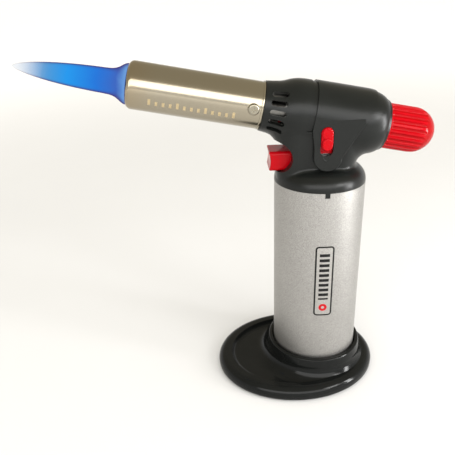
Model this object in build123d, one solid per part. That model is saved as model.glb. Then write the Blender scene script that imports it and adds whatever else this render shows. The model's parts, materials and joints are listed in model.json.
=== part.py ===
from build123d import *
import os
from math import cos, radians, sin

# Table-standing butane torch, in millimetres. +Z is up along the tank, the nozzle points along -X,
# and the origin is on the tank's axis at the underside of the stand.

# ---------------------------------------------------------------- driving dimensions
CLEARANCE = 0.05            # radial gap of a running fit
WALL = 1.9                  # moulded wall of the head

TANK_R = 22.5
TANK_FOOT = 3.0             # the tank stands on the floor of the stand's socket
TANK_TOP = 110.7            # lower edge of the head's cap
SLEEVE_WALL = 1.0
LABEL_WIDTH, LABEL_LOW, LABEL_HIGH = 9.4, 43.5, 83.5
TAB_WIDTH, TAB_DROP = 2.3, 2.3

HEAD_Z = 142.0              # where the burner's axis crosses the tank's axis
HEAD_TILT = 11.4            # degrees that the nozzle rises
BARREL_R = 15.3
COLLAR_FRONT = 29.0         # distances along the burner's axis, towards the nozzle
COLLAR_FRONT_R = 11.6
BARREL_REAR = -29.8
BARREL_REAR_R = 11.9
TUBE_R = 11.0
TUBE_TIP = 91.8
TUBE_WALL = 0.8
SCREW_AT = 33.6
SLOT_COUNT, SLOT_PITCH, SLOT_LENGTH, SLOT_WIDTH = 5, 20.0, 7.4, 2.6
SLOT_MID = 22.5

CAP_ROUND = 7.0             # rounding of the cap's shoulder
THROAT_ROUND = 6.5          # blend of the neck into the barrel
FOOT_ROUND = 2.0            # blend of the neck into the cap
NECK_FRONT, NECK_REAR, NECK_HALF = -22.4, 16.4, 12.9
WINDOW_X, WINDOW_Z, WINDOW_R = -22.6, 124.7, 7.5

TRIGGER_FRONT, TRIGGER_REAR = -25.9, -11.0
TRIGGER_LOW, TRIGGER_HIGH, TRIGGER_HALF = 117.4, 126.9, 7.2
TRIGGER_TRAVEL = 5.0
VALVE_LIFT = 1.75           # the ramp lifts the gas valve this much over the trigger's travel
PIEZO_Z, PIEZO_R = 122.2, 3.6
PLUNGER_R = 2.5

LOCK_Z, LOCK_WIDTH, LOCK_LENGTH = 134.8, 5.5, 10.6
LOCK_TRAVEL = 2.9
TONGUE_FACE = 15.6          # distance of the lock's flat face from the middle plane
TONGUE_R = 6.6

KNOB_R, KNOB_ROOT, KNOB_TIP = 10.7, -27.8, -54.8
KNOB_RIBS, KNOB_LIP, KNOB_GROOVE_R = 22, 3.8, 1.1
SPINDLE_R = 3.0
REGULATOR_R = 6.0

STAND_LENGTH, STAND_WIDTH, STAND_RIM = 88.0, 73.0, 7.3
STAND_SHIFT = -10.8         # the oval's centre lies ahead of the tank
STAND_TURN = 5.5            # degrees that the torch stands turned in its round socket
STAND_WALL = 2.3
COLLAR_TOP = 16.5
RECESS_FLOOR = 4.8
RECESS_LENGTH, RECESS_WIDTH = 70.0, 57.0

# ---------------------------------------------------------------- helpers
HEAD = Plane(
    origin=(0, 0, HEAD_Z),
    x_dir=(sin(radians(HEAD_TILT)), 0, cos(radians(HEAD_TILT))),
    z_dir=(-cos(radians(HEAD_TILT)), 0, sin(radians(HEAD_TILT))),
)


def on_head(shape):
    """Place a shape drawn about +Z on the burner's axis, its +Z towards the nozzle and its +X up."""
    return HEAD.location * shape


def turned(outline):
    """Revolve a closed outline of (radius, height) points or curves about Z."""
    if isinstance(outline, list):
        outline = Polyline(*outline, close=True)
    return revolve(make_face(Plane.XZ * outline), Axis.Z)


def disc(radius, low, high, bore=0.0):
    """A disc or ring about Z between two heights."""
    shape = Pos(0, 0, low) * Cylinder(radius, high - low, align=(Align.CENTER, Align.CENTER, Align.MIN))
    if bore:
        shape -= Pos(0, 0, low - 1) * Cylinder(
            bore, high - low + 2, align=(Align.CENTER, Align.CENTER, Align.MIN)
        )
    return shape


def block(x, y, z):
    """A box between the two limits of each axis."""
    size = [high - low for low, high in (x, y, z)]
    middle = [(high + low) / 2 for low, high in (x, y, z)]
    return Pos(*middle) * Box(*size)


def across(x, z, radius, low, high):
    """A cylinder along Y."""
    middle = Pos(x, (low + high) / 2, z)
    return middle * Rot(90, 0, 0) * Cylinder(radius, high - low)


def along_x(x_low, x_high, y, z, radius):
    """A cylinder along X."""
    return Pos((x_low + x_high) / 2, y, z) * Rot(0, 90, 0) * Cylinder(radius, x_high - x_low)


def coil(radius, wire, low, high, turns):
    """A compression spring about Z, with closed ends left plain."""
    pitch = (high - low - wire) / turns
    path = Pos(0, 0, low + wire / 2) * Helix(pitch, high - low - wire, radius)
    section = Plane(path @ 0, z_dir=path % 0) * Circle(wire / 2)
    return sweep(section, path, is_frenet=True)


def pan_head_screw(shank_r, length, head_r, head_h):
    """A cross-recessed screw with its head's underside at Z 0 and its shank towards -Z."""
    head = disc(head_r, 0, head_h)
    head = fillet(head.edges().group_by(Axis.Z)[-1], head_h * 0.6)
    shank = disc(shank_r, -length, 0)
    arm = head_r * 1.1
    cross = Pos(0, 0, head_h) * (Box(arm, arm / 4, head_h) + Box(arm / 4, arm, head_h))
    return head + shank - cross


# ---------------------------------------------------------------- stand
def stand_base():
    """Oval moulded foot: bulged rim, crescent recess and socket collar, hollow and ribbed below."""
    oval = Pos(STAND_SHIFT, 0, 0)
    body = extrude(oval * Ellipse(STAND_LENGTH / 2, STAND_WIDTH / 2), STAND_RIM)
    body = fillet(body.edges().group_by(Axis.Z)[-1], 4.2)
    body = fillet(body.edges().group_by(Axis.Z)[0], 2.2)

    recess = Pos(0, 0, RECESS_FLOOR) * oval * Ellipse(RECESS_LENGTH / 2, RECESS_WIDTH / 2)
    recess = extrude(recess, STAND_RIM, taper=-30)
    body -= fillet(recess.edges().group_by(Axis.Z)[0], 2.4)

    # The collar flares into the recess's floor on a wide arc.
    lip_r, waist_r, waist_z = 25.3, 25.9, 12.2
    flare = waist_z - RECESS_FLOOR
    outline = Polyline(
        (lip_r - 0.9, COLLAR_TOP), (0, COLLAR_TOP), (0, 0.6), (waist_r + flare, 0.6),
        (waist_r + flare, RECESS_FLOOR),
    )
    outline += RadiusArc((waist_r + flare, RECESS_FLOOR), (waist_r, waist_z), flare)
    outline += Line((waist_r, waist_z), (lip_r, COLLAR_TOP - 0.9))
    outline += RadiusArc((lip_r, COLLAR_TOP - 0.9), (lip_r - 0.9, COLLAR_TOP), -0.9)
    body += turned(outline) & extrude(
        oval * Ellipse(STAND_LENGTH / 2 - 1.5, STAND_WIDTH / 2 - 1.5), COLLAR_TOP + 1
    )

    # Hollow underside, stepped to follow the recess, with radial ribs and the socket's cup left in.
    low_hollow = extrude(
        oval * Ellipse(STAND_LENGTH / 2 - STAND_WALL, STAND_WIDTH / 2 - STAND_WALL),
        RECESS_FLOOR - STAND_WALL,
    )
    rim_hollow = extrude(
        oval * Ellipse(STAND_LENGTH / 2 - STAND_WALL - 1, STAND_WIDTH / 2 - STAND_WALL - 1),
        STAND_RIM - STAND_WALL,
    ) - extrude(oval * Ellipse(RECESS_LENGTH / 2 + STAND_WALL, RECESS_WIDTH / 2 + STAND_WALL), STAND_RIM)
    hollow = low_hollow + rim_hollow - disc(TANK_R + STAND_WALL, 0, STAND_RIM)
    for turn in range(0, 360, 60):
        hollow -= Rot(0, 0, turn) * block((TANK_R, STAND_LENGTH), (-0.8, 0.8), (0, STAND_RIM))
    body -= hollow

    # The socket narrows below its lead-in.
    snug, mouth = TANK_R + 0.25, TANK_R + 0.9
    body -= turned([
        (0, TANK_FOOT), (snug, TANK_FOOT), (snug, COLLAR_TOP - 4.5),
        (mouth, COLLAR_TOP), (mouth, COLLAR_TOP + 1), (0, COLLAR_TOP + 1),
    ])
    return Rot(0, 0, STAND_TURN) * body


# ---------------------------------------------------------------- tank
SPIGOT_R = TANK_R - SLEEVE_WALL - CLEARANCE
RESERVOIR_R, RESERVOIR_LOW, RESERVOIR_HIGH = 21.2, 9.6, 100.0
LID_TOP, LID_NECK_R, LID_NECK_TOP = 103.0, 7.0, 105.5
FILL_R, FILL_LOW, FILL_HIGH = 4.0, 9.0, 19.5
FILL_STEM_R, FILL_TIP = 1.25, 7.2
GAS_VALVE_R, GAS_VALVE_LOW, GAS_VALVE_HIGH = 4.6, 96.0, 112.4
GAS_STEM_R = 1.4
PORT_Z = 108.4


def tank_sleeve():
    """Aluminium tube with a notch for each of the cap's snap tabs."""
    tube = disc(TANK_R, TANK_FOOT + 1.4, TANK_TOP, bore=TANK_R - SLEEVE_WALL)
    notch = (TAB_WIDTH + 0.1) / 2
    return tube - block((-notch, notch), (-TANK_R - 1, TANK_R + 1), (TANK_TOP - TAB_DROP - 0.05, TANK_TOP + 1))


def tank_label():
    """Printed film wrapped on the sleeve's front."""
    film = disc(TANK_R + 0.08, LABEL_LOW, LABEL_HIGH, bore=TANK_R)
    window = extrude(
        Plane.XZ * Pos(0, (LABEL_LOW + LABEL_HIGH) / 2)
        * RectangleRounded(LABEL_WIDTH, LABEL_HIGH - LABEL_LOW, 1.6),
        TANK_R + 1,
    )
    return film & window


def bottom_cap():
    """Plastic ring pressed into the sleeve's foot, with a well round the fill valve."""
    return turned([
        (7.0, TANK_FOOT), (21.5, TANK_FOOT), (TANK_R, TANK_FOOT + 0.8), (TANK_R, TANK_FOOT + 1.4),
        (SPIGOT_R, TANK_FOOT + 1.4), (SPIGOT_R, RESERVOIR_LOW - 0.1), (SPIGOT_R - 1.6, RESERVOIR_LOW - 0.1),
        (SPIGOT_R - 1.6, TANK_FOOT + 2), (9.0, TANK_FOOT + 2), (9.0, RESERVOIR_LOW - 0.1),
        (7.0, RESERVOIR_LOW - 0.1),
    ])


def fuel_tank():
    """Drawn reservoir, open at the top, with a seat for the fill valve in its floor."""
    outer = disc(RESERVOIR_R, RESERVOIR_LOW, RESERVOIR_HIGH)
    outer = fillet(outer.edges().group_by(Axis.Z)[0], 3.0)
    inner = disc(RESERVOIR_R - 1.2, RESERVOIR_LOW + 1.2, RESERVOIR_HIGH + 1)
    inner = fillet(inner.edges().group_by(Axis.Z)[0], 1.8)
    boss = disc(FILL_R + 2, RESERVOIR_LOW, RESERVOIR_LOW + 4)
    return outer - inner + boss - disc(FILL_R, 0, RESERVOIR_HIGH)


def tank_lid():
    """Domed lid with the neck that carries the gas valve."""
    bore = GAS_VALVE_R + CLEARANCE
    return turned([
        (bore, RESERVOIR_HIGH - 3), (GAS_VALVE_R + 3, RESERVOIR_HIGH - 3),
        (GAS_VALVE_R + 3, RESERVOIR_HIGH), (RESERVOIR_R, RESERVOIR_HIGH),
        (RESERVOIR_R, RESERVOIR_HIGH + 1.2), (LID_NECK_R + 3, LID_TOP), (LID_NECK_R, LID_TOP),
        (LID_NECK_R, LID_NECK_TOP), (bore, LID_NECK_TOP),
    ])


def dip_tube():
    """Pick-up tube that hangs from the gas valve."""
    return disc(1.3, RESERVOIR_LOW + 12, GAS_VALVE_LOW, bore=0.7)


def fill_valve_body():
    """Brass refill valve: a chamber for the spring, with a foot that the stem looks out of."""
    return turned([
        (FILL_STEM_R + CLEARANCE, FILL_LOW), (FILL_R, FILL_LOW), (FILL_R, FILL_HIGH),
        (1.0, FILL_HIGH), (1.0, FILL_HIGH - 1.2), (2.9, FILL_HIGH - 1.2), (2.9, FILL_LOW + 2.5),
        (FILL_STEM_R + CLEARANCE, FILL_LOW + 2.5),
    ])


FILL_COLLAR = FILL_LOW + 3.6


def fill_valve_stem():
    """Refill nipple with the collar that shuts on the seal."""
    return (
        disc(FILL_STEM_R, FILL_TIP, FILL_COLLAR) + disc(2.6, FILL_COLLAR, FILL_COLLAR + 1)
        + disc(0.9, FILL_COLLAR + 1, FILL_COLLAR + 3.4) - disc(0.5, FILL_TIP - 1, FILL_COLLAR)
    )


def fill_valve_seal():
    return disc(2.8, FILL_LOW + 2.5, FILL_COLLAR, bore=FILL_STEM_R + CLEARANCE)


def fill_valve_spring():
    return coil(2.0, 0.5, FILL_COLLAR + 1, FILL_HIGH - 1.2, 4)


# ---------------------------------------------------------------- head housing
CAP_WALL_TOP = TANK_TOP + 0.6       # the cap's side is straight up to here
CHANNEL_HALF = TRIGGER_HALF + 0.2
BORE_REAR = -27.2                   # face of the wall behind the knob
MOUNT_R, MOUNT_REAR = 10.15, 16.0
BOSS_R, BOSS_HEAD_Y, BOSS_DEPTH = 3.4, 7.5, 6.2
BOSSES = [(-5.9, 153.2), (19.5, 147.9), (-12.0, 130.2), (17.6, 113.5), (-16.5, 113.3)]
LOCK_POCKET = 13.6


def barrel_form(inset):
    """Collar, barrel and rounded rear as one turned solid, drawn in by the inset."""
    front_r, barrel_r, rear_r = COLLAR_FRONT_R - inset, BARREL_R - inset, BARREL_REAR_R - inset
    outline = Polyline((0, COLLAR_FRONT), (front_r, COLLAR_FRONT), (front_r + 0.8, 23.0))
    outline += Spline(
        (front_r + 0.8, 23.0), (front_r + 2.7, 17.3), (barrel_r, 10.0), tangents=((0.16, -1), (0, -1))
    )
    outline += Line((barrel_r, 10.0), (barrel_r, -18.6))
    outline += Spline(
        (barrel_r, -18.6), (barrel_r - 0.7, -24.2), (rear_r + 0.5, -28.6), tangents=((0, -1), (-0.9, -1))
    )
    outline += Polyline((rear_r + 0.5, -28.6), (rear_r, BARREL_REAR), (0, BARREL_REAR), (0, COLLAR_FRONT))
    return on_head(turned(outline))


def neck_form(inset):
    """Neck between the cap and the barrel, lofted through rounded sections."""
    sections = [
        # height, front, rear, half width
        (111.0, NECK_FRONT + 0.8, NECK_REAR, NECK_HALF),
        (119.6, NECK_FRONT, NECK_REAR, NECK_HALF),
        (127.0, NECK_FRONT, NECK_REAR + 1.8, NECK_HALF + 0.3),
        (143.0, NECK_FRONT + 1.0, NECK_REAR + 3.0, NECK_HALF + 0.6),
    ]
    faces = []
    for height, front, rear, half in sections:
        middle = Pos((front + rear) / 2, 0, height)
        faces.append(middle * RectangleRounded(rear - front - 2 * inset, 2 * (half - inset), 9.4 - inset))
    return loft(faces)


def cap_form(inset, low):
    """Round cap with a quarter-round shoulder."""
    arc_r, centre_r = CAP_ROUND - inset, TANK_R - CAP_ROUND
    outline = Polyline((0, low), (TANK_R - inset, low), (TANK_R - inset, CAP_WALL_TOP))
    outline += RadiusArc((TANK_R - inset, CAP_WALL_TOP), (centre_r, CAP_WALL_TOP + arc_r), -arc_r)
    outline += Polyline((centre_r, CAP_WALL_TOP + arc_r), (0, CAP_WALL_TOP + arc_r), (0, low))
    return turned(outline)


def head_form(inset):
    """Barrel, neck and cap blended into one form, drawn in by the inset."""
    barrel, neck, cap = barrel_form(inset), neck_form(inset), cap_form(inset, TANK_TOP - inset)
    upper = barrel + neck
    throat = [edge for edge in new_edges(barrel, neck, combined=upper) if edge.center().Z > CAP_WALL_TOP]
    upper = fillet(throat, THROAT_ROUND + inset)
    whole = upper + cap
    return fillet(new_edges(upper, cap, combined=whole), FOOT_ROUND + inset)


def lock_panel():
    """Shield-shaped raised panel: a flat tongue round the lock that widens up over the barrel."""
    middle, drop = 0.8, 125.6
    left, right = middle - TONGUE_R, middle + TONGUE_R
    outline = Polyline((-2.8, 160), (-7.0, 139), (left, 131), (left, drop))
    outline += ThreePointArc((left, drop), (middle, drop - TONGUE_R), (right, drop))
    outline += Polyline((right, drop), (26.4, 155), (26.4, 160), (-2.8, 160))
    prism = extrude(Plane.XZ * make_face(outline), TONGUE_FACE, both=True)
    sides = prism.edges().group_by(Axis.Y)
    prism = fillet(sides[0] + sides[-1], 0.4)
    flat = block((-9, 17), (-TONGUE_FACE, TONGUE_FACE), (117, 143))
    return (barrel_form(-0.4) + flat) & prism


def air_slots():
    """Round-ended slots along the collar, the same on both sides."""
    slot = Plane(origin=(0, 0, SLOT_MID), x_dir=(0, 0, 1), z_dir=(0, 1, 0)) * SlotOverall(
        SLOT_LENGTH, SLOT_WIDTH
    )
    cutter = extrude(slot, 20, both=True)
    turns = [SLOT_PITCH * (i - (SLOT_COUNT - 1) / 2) for i in range(SLOT_COUNT)]
    return on_head(Compound([Rot(0, 0, turn) * cutter for turn in turns]))


def housing():
    """The whole hollow housing with its ribs and screw bosses, before it is parted down the middle."""
    outer = head_form(0)
    skin = outer + lock_panel()
    hollow = head_form(WALL)

    inside = on_head(disc(20, BORE_REAR, BORE_REAR + 1.8))                    # wall behind the knob
    inside += across(WINDOW_X, WINDOW_Z, WINDOW_R + 1.6, -30, 30)             # web round the trigger
    for low, high in ((-19.0, -17.4), (-3.0, -1.4)):                          # cradles of the regulator
        inside += on_head(disc(20, low, high)) & block((-40, 40), (-30, 30), (134.5, 170))
    for low, high in ((-4.0, -2.5), (5.0, 6.5)):                              # cradles of the igniter
        inside += block((low, high), (-20, 20), (118.5, 129.0))
    inside -= on_head(disc(REGULATOR_R, -26, 4)) + along_x(-7, 11, 0, PIEZO_Z, PIEZO_R)
    inside += on_head(disc(20, MOUNT_REAR - 1.6, 18.6, bore=8.8))             # grip of the burner mount
    for x, z in BOSSES:
        inside += across(x, z, BOSS_R, -30, 30)
    body = (skin - hollow) + (inside & outer)

    body -= across(WINDOW_X, WINDOW_Z, WINDOW_R, -30, 30)
    body -= block((-40, TRIGGER_REAR + TRIGGER_TRAVEL + 3), (-CHANNEL_HALF, CHANNEL_HALF),
                  (TRIGGER_LOW - 0.2, TRIGGER_HIGH + 0.2))
    body -= on_head(
        disc(BARREL_REAR_R - 0.6, BARREL_REAR - 1, BORE_REAR)
        + disc(6.5, BORE_REAR - 1, BORE_REAR + 3)
        + disc(MOUNT_R + CLEARANCE, 17.55, COLLAR_FRONT + 1)
        + disc(11.45, MOUNT_REAR - 0.05, 17.55)
    )
    body -= on_head(disc(BARREL_R + 2, 5.9, 8.1, bore=BARREL_R - 0.35)) & block(
        (-20, 10), (-30, 30), (138, 170)
    )
    body -= air_slots()

    # Lock: a round-ended slot in the panel and a pocket for the slider's flange behind it.
    slot_mid = LOCK_Z - LOCK_TRAVEL / 2
    slot = Pos(0, slot_mid) * Rot(0, 0, 90) * SlotOverall(LOCK_LENGTH + LOCK_TRAVEL + 0.3, LOCK_WIDTH + 0.5)
    body -= extrude(Plane.XZ * slot, 30)
    body -= block((-5.0, 5.0), (-LOCK_POCKET, -9.0), (slot_mid - 11.0, slot_mid + 11.0))

    for x, z in BOSSES:
        body -= across(x, z, BOSS_R - 0.9, BOSS_HEAD_Y, 30) + across(x, z, 1.45, 0, BOSS_HEAD_Y)
        body -= across(x, z, 1.25, -BOSS_DEPTH, 0)

    body += disc(SPIGOT_R, TANK_TOP - 5.7, CAP_WALL_TOP, bore=SPIGOT_R - 1.6)
    tab = TAB_WIDTH / 2
    body += disc(TANK_R, TANK_TOP - TAB_DROP, TANK_TOP, bore=SPIGOT_R - 0.5) & block(
        (-tab, tab), (-30, 30), (TANK_TOP - TAB_DROP, TANK_TOP)
    )
    return body


def half_of(body, side):
    """The part of a body on one side of the middle plane; side is -1 for the near half."""
    near, far = sorted((0, 40 * side))
    return body & block((-60, 60), (near, far), (90, 180))


def housing_screws():
    """Self-tapping screws, their heads sunk in the far half."""
    screw = pan_head_screw(1.25, BOSS_HEAD_Y + BOSS_DEPTH - 0.4, 2.3, 1.6)
    return Compound([Pos(x, BOSS_HEAD_Y, z) * Rot(-90, 0, 0) * screw for x, z in BOSSES])


# ---------------------------------------------------------------- controls
def lock_slider():
    """Slide button: two lobes outside, the lower one proud, and a flange inside the wall."""
    def pad(height, length, width, low, high, rounding):
        face = Pos(0, height) * Rot(0, 0, 90) * SlotOverall(length, width)
        solid = Pos(0, -low, 0) * extrude(Plane.XZ * face, high - low)
        return fillet(solid.edges().group_by(Axis.Y)[0], rounding)

    slider = pad(LOCK_Z, LOCK_LENGTH, LOCK_WIDTH, 12.3, TONGUE_FACE + 0.5, 0.5)
    slider += pad(LOCK_Z + 2.4, 5.6, 4.7, 15.0, TONGUE_FACE + 0.9, 0.5)
    slider += pad(LOCK_Z - 2.5, 5.9, 4.9, 15.0, TONGUE_FACE + 1.5, 0.7)
    flange = block((-4.4, 4.4), (-LOCK_POCKET + CLEARANCE, -12.3), (LOCK_Z - 7.4, LOCK_Z + 7.0))
    return slider + flange


def lock_spring():
    """Leaf that presses the slider's flange outwards."""
    low, high = LOCK_Z - 12.0, LOCK_Z + 8.5
    return block((-3.5, 3.5), (-12.25, -11.85), (low, high))


def trigger():
    """Hollow push trigger with a finger-shaped face and two ramp prongs behind."""
    middle = (TRIGGER_LOW + TRIGGER_HIGH) / 2
    side = Polyline((TRIGGER_FRONT, TRIGGER_HIGH), (TRIGGER_REAR, TRIGGER_HIGH), (TRIGGER_REAR, TRIGGER_LOW),
                    (TRIGGER_FRONT, TRIGGER_LOW))
    side += ThreePointArc((TRIGGER_FRONT, TRIGGER_LOW), (TRIGGER_FRONT + 0.9, middle),
                          (TRIGGER_FRONT, TRIGGER_HIGH))
    body = extrude(Plane.XZ * make_face(side), TRIGGER_HALF, both=True)
    body = fillet(body.edges().filter_by(Axis.X), 1.6)
    body = fillet(body.faces().sort_by(Axis.X)[0].edges(), 0.6)
    body -= block((TRIGGER_FRONT + 2.4, TRIGGER_REAR + 1), (1.5 - TRIGGER_HALF, TRIGGER_HALF - 1.5),
                  (TRIGGER_LOW + 1.5, TRIGGER_HIGH - 1.5))

    slope = VALVE_LIFT / TRIGGER_TRAVEL
    ramp_x, ramp_z = -CROSSHEAD_HALF, CROSSHEAD_Z - CLEARANCE
    prong = Polyline(
        (TRIGGER_REAR - 1, 117.4), (TRIGGER_REAR - 1, 121), (TRIGGER_REAR + 1.4, 120.5),
        (TRIGGER_REAR + 2.4, ramp_z - slope * (TRIGGER_REAR + 2.4 - ramp_x)),
        (3.6, ramp_z - slope * (3.6 - ramp_x)), (3.6, ramp_z - 3.0), (-4.0, ramp_z - 2.2),
        close=True,
    )
    prongs = extrude(Plane.XZ * make_face(prong), TRIGGER_HALF - 0.1, both=True)
    return body + (prongs - block((-20, 20), (-5.7, 5.7), (100, 130)))


def trigger_spring():
    spring = coil(2.9, 0.5, 0, -6.05 - (TRIGGER_FRONT + 2.45), 6)
    return Pos(TRIGGER_FRONT + 2.45, 0, PIEZO_Z) * Rot(0, 90, 0) * spring


def piezo_body():
    """Igniter's case: bored for the plunger, with the terminal on its rear end."""
    body = along_x(-6, 10, 0, PIEZO_Z, PIEZO_R) - along_x(-7, 1.5, 0, PIEZO_Z, PLUNGER_R + CLEARANCE)
    return body + along_x(10, 10.8, 0, PIEZO_Z, 2.0)


def piezo_plunger():
    return along_x(TRIGGER_FRONT + 2.4, -4.0, 0, PIEZO_Z, PLUNGER_R)


def igniter_lead():
    """Insulated wire from the igniter's case, under the regulator, to the electrode."""
    end = on_head(Vertex(-6.3, 0, 20.0)).center()
    route = FilletPolyline(
        (8.4, 0, PIEZO_Z + PIEZO_R), (8.4, 0, 131.6), (-6.0, 0, 132.8), (-14.0, 0, 136.8), end, radius=1.6
    )
    return sweep(Plane(route @ 0, z_dir=route % 0) * Circle(0.8), route)


# ---------------------------------------------------------------- gas path
CROSSHEAD_Z, CROSSHEAD_HALF = 114.6, 1.5
PIPE_X, PIPE_R, PIPE_TOP = 12.0, 1.2, 132.5


def gas_valve_body():
    """Brass on/off valve: chamber, stem guide and the side port of the feed pipe."""
    bore = GAS_STEM_R + CLEARANCE
    body = turned([
        (1.0, GAS_VALVE_LOW), (GAS_VALVE_R, GAS_VALVE_LOW), (GAS_VALVE_R, LID_NECK_TOP), (6.4, LID_NECK_TOP),
        (6.4, LID_NECK_TOP + 1.4), (GAS_VALVE_R, LID_NECK_TOP + 1.4), (GAS_VALVE_R, GAS_VALVE_HIGH),
        (bore, GAS_VALVE_HIGH), (bore, 110.0), (3.2, 110.0), (3.2, 99.0), (1.0, 99.0),
    ])
    return body - along_x(2, 8, 0, PORT_Z, 0.8)


def gas_valve_stem():
    """Stem with its seat pad, spring collar and the crosshead that the trigger's ramps lift."""
    stem = disc(1.7, 99.0, 100.9) + disc(3.0, 100.9, 102.4) + disc(GAS_STEM_R, 102.4, CROSSHEAD_Z + 1)
    crosshead = block((-CROSSHEAD_HALF, CROSSHEAD_HALF), (-7.0, 7.0), (CROSSHEAD_Z, CROSSHEAD_Z + 1.6))
    return stem + crosshead


def gas_valve_seal():
    return disc(3.15, 109.0, 110.0, bore=GAS_STEM_R + CLEARANCE)


def gas_valve_spring():
    return coil(2.2, 0.5, 102.4, 109.0, 5)


def feed_pipe():
    """Bent tube from the valve's port up to the regulator."""
    route = FilletPolyline((GAS_VALVE_R, 0, PORT_Z), (PIPE_X, 0, PORT_Z), (PIPE_X, 0, PIPE_TOP), radius=3.0)
    start = Plane(route @ 0, z_dir=route % 0)
    return sweep(start * Circle(PIPE_R), route) - sweep(start * Circle(PIPE_R - 0.5), route)


def regulator_body():
    """Brass needle-valve block, with a port for the feed pipe below."""
    body = on_head(disc(REGULATOR_R, -24.0, 2.0) + disc(7.0, -9.0, -6.5) + disc(3.6, 2.0, 3.0))
    body += Pos(PIPE_X, 0, PIPE_TOP - 2.0) * Cylinder(
        2.6, 8.0, align=(Align.CENTER, Align.CENTER, Align.MIN)
    )
    body -= on_head(
        disc(SPINDLE_R + CLEARANCE, -25.0, -10.5) + disc(4.2, -25.0, -21.6) + disc(0.9, -11.0, 4.0)
    )
    return body - Pos(PIPE_X, 0, PIPE_TOP - 3) * Cylinder(
        PIPE_R, 3.0, align=(Align.CENTER, Align.CENTER, Align.MIN)
    )


def gland_nut():
    """Hexagon nut whose spigot holds the spindle's O-ring."""
    nut = Pos(0, 0, -27.3) * extrude(RegularPolygon(6.3, 6), 3.3) + disc(4.15, -24.0, -22.8)
    return on_head(nut - disc(SPINDLE_R + CLEARANCE, -28.0, -22.0))


def spindle_oring():
    return on_head(disc(4.15, -22.8, -21.6, bore=SPINDLE_R + CLEARANCE))


def regulator_spindle():
    """Needle and spindle in one, reaching back into the knob's hub."""
    return on_head(turned([
        (0, -11.0), (0.6, -11.0), (2.0, -13.5), (SPINDLE_R, -13.5), (SPINDLE_R, -46.0), (0, -46.0),
    ]))


def regulator_knob():
    """Domed knob: a plain lip at the root, round ribs running into the dome, hollow round its hub."""
    knob = disc(KNOB_R, KNOB_TIP + KNOB_R, KNOB_ROOT) + Pos(0, 0, KNOB_TIP + KNOB_R) * Sphere(KNOB_R)
    groove = disc(KNOB_GROOVE_R, KNOB_TIP, KNOB_ROOT - KNOB_LIP)
    groove += Pos(0, 0, KNOB_ROOT - KNOB_LIP) * Sphere(KNOB_GROOVE_R)
    for i in range(KNOB_RIBS):
        knob -= Rot(0, 0, 360 / KNOB_RIBS * i) * Pos(KNOB_R + 0.3, 0, 0) * groove
    knob -= disc(8.2, -43.0, KNOB_ROOT + 1, bore=5.0)
    return on_head(knob - disc(SPINDLE_R, -46.0, KNOB_ROOT + 1))


def gas_jet():
    """Hexagon jet that points into the mixing tube."""
    jet = Pos(0, 0, 3.0) * extrude(RegularPolygon(3.8, 6), 3.4)
    jet += turned([(0, 6.4), (2.6, 6.4), (2.0, 8.0), (2.0, 12.5), (1.2, 14.5), (0, 14.5)])
    return on_head(jet - disc(0.4, 2, 15))


# ---------------------------------------------------------------- burner
ELECTRODE_U = -6.3
INSULATOR_R, WIRE_R = 1.5, 0.45
HOLDER_AT = 76.0


def around(angles, radius, at, cutter_r, length=8.0):
    """Radial cylinders about the burner's axis."""
    hole = Pos(radius, 0, at) * Rot(0, 90, 0) * Cylinder(cutter_r, length)
    return Compound([Rot(0, 0, angle) * hole for angle in angles])


SCREW_ANGLES = (-90, 90)


def burner_mount():
    """Slotted metal socket: a flange that the housing grips, air slots, and a web for the mixing tube."""
    mount = turned([
        (8.6, MOUNT_REAR), (11.4, MOUNT_REAR), (11.4, 17.5), (MOUNT_R, 17.5), (MOUNT_R, 38.0),
        (8.6, 38.0),
    ])
    mount += disc(8.7, 36.0, 37.4, bore=4.2)
    slot = extrude(
        Plane(origin=(0, 0, 23.2), x_dir=(0, 0, 1), z_dir=(0, 1, 0)) * SlotOverall(8.0, 4.2), 20, both=True
    )
    for i in range(4):
        mount -= Rot(0, 0, 22.5 + 45 * i) * slot
    mount -= around(SCREW_ANGLES, 9.0, SCREW_AT, 1.25)
    for i in range(8):
        mount -= Rot(0, 0, 22.5 + 45 * i) * Pos(6.3, 0, 35) * Cylinder(
            1.3, 5, align=(Align.CENTER, Align.CENTER, Align.MIN)
        )
    mount -= Pos(ELECTRODE_U, 0, 35) * Cylinder(INSULATOR_R, 5, align=(Align.CENTER, Align.CENTER, Align.MIN))
    return on_head(mount)


def collar_ring():
    """Bright ring that closes the seam between the collar and the tube."""
    ring = disc(11.3, COLLAR_FRONT + 0.05, COLLAR_FRONT + 1.2, bore=MOUNT_R)
    return on_head(fillet(ring.edges().filter_by(GeomType.CIRCLE).sort_by(SortBy.RADIUS)[-2:], 0.35))


def burner_tube():
    """Polished flame tube, rolled in at its mouth, drilled for its screws."""
    inner, mouth, roll = TUBE_R - TUBE_WALL, 8.4, 2.6
    rear = COLLAR_FRONT + 1.2
    outline = Polyline((inner, rear), (TUBE_R, rear), (TUBE_R, TUBE_TIP - roll))
    outline += RadiusArc((TUBE_R, TUBE_TIP - roll), (mouth, TUBE_TIP), -roll)
    outline += Polyline((mouth, TUBE_TIP), (mouth, TUBE_TIP - 1.8))
    outline += Polyline((mouth, TUBE_TIP - 1.8), (inner, TUBE_TIP - 3.2), (inner, rear))
    return on_head(turned(outline) - around(SCREW_ANGLES, TUBE_R, SCREW_AT, 1.5))


def burner_screws():
    """Cross-head screws through the tube into its mount."""
    screw = Rot(0, 90, 0) * pan_head_screw(1.25, 3.2, 2.7, 1.6)
    placed = [Rot(0, 0, angle) * Pos(TUBE_R, 0, SCREW_AT) * screw for angle in SCREW_ANGLES]
    return on_head(Compound(placed))


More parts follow.
